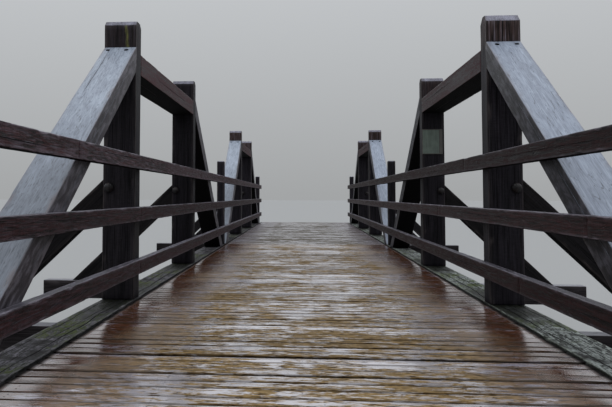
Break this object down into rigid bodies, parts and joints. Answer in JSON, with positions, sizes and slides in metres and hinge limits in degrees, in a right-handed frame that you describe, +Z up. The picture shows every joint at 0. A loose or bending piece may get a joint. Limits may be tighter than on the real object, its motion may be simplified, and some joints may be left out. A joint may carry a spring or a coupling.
{
  "type": "wooden footbridge",
  "caption": "Timber footbridge with queen post side trusses, knee-braced floor beams, three-rail railings and a board deck on timber trestles.",
  "frame": {"origin": "on the ground, at the middle of the bridge's length and width", "axes": "+X across the bridge to the right, +Y along it, the way that the picture looks, and +Z up"},
  "size_m": [7.4, 23.15, 4.545],
  "materials": {
    "post_timber": "weathered and wet",
    "brace_timber": "weathered and wet",
    "beam_timber": "weathered and wet",
    "chord_timber": "weathered and wet",
    "rail_timber": "weathered and wet",
    "deck_boards": "weathered and wet",
    "floor_timber": "weathered and wet",
    "trestle_timber": "weathered and wet"
  },
  "bodies": {
    "root": {"near_deck": "deck_boards", "near_joists": "floor_timber", "near_left_bottom_chord": "chord_timber", "near_left_top_beam": "beam_timber", "near_right_bottom_chord": "chord_timber", "near_right_top_beam": "beam_timber", "far_deck": "deck_boards", "far_joists": "floor_timber", "far_left_bottom_chord": "chord_timber", "far_left_top_beam": "beam_timber", "far_right_bottom_chord": "chord_timber", "far_right_top_beam": "beam_timber", "first_floor_beam": "floor_timber", "first_knee_braces": "brace_timber", "first_left_queen_post": "post_timber", "first_left_end_brace": "brace_timber", "first_right_queen_post": "post_timber", "first_right_end_brace": "brace_timber", "second_floor_beam": "floor_timber", "second_knee_braces": "brace_timber", "second_left_queen_post": "post_timber", "second_left_end_brace": "brace_timber", "second_right_queen_post": "post_timber", "second_right_end_brace": "brace_timber", "third_floor_beam": "floor_timber", "third_knee_braces": "brace_timber", "third_left_queen_post": "post_timber", "third_left_end_brace": "brace_timber", "third_right_queen_post": "post_timber", "third_right_end_brace": "brace_timber", "fourth_floor_beam": "floor_timber", "fourth_knee_braces": "brace_timber", "fourth_left_queen_post": "post_timber", "fourth_left_end_brace": "brace_timber", "fourth_right_queen_post": "post_timber", "fourth_right_end_brace": "brace_timber", "near_rail_posts": "post_timber", "near_trestle_cap": "trestle_timber", "near_trestle_legs": "trestle_timber", "near_trestle_sill": "trestle_timber", "near_sway_braces": "trestle_timber", "middle_rail_posts": "post_timber", "middle_trestle_cap": "trestle_timber", "middle_trestle_legs": "trestle_timber", "middle_trestle_sill": "trestle_timber", "middle_sway_braces": "trestle_timber", "far_rail_posts": "post_timber", "far_trestle_cap": "trestle_timber", "far_trestle_legs": "trestle_timber", "far_trestle_sill": "trestle_timber", "far_sway_braces": "trestle_timber", "left_rails": "rail_timber", "right_rails": "rail_timber"}
  },
  "joints": []
}
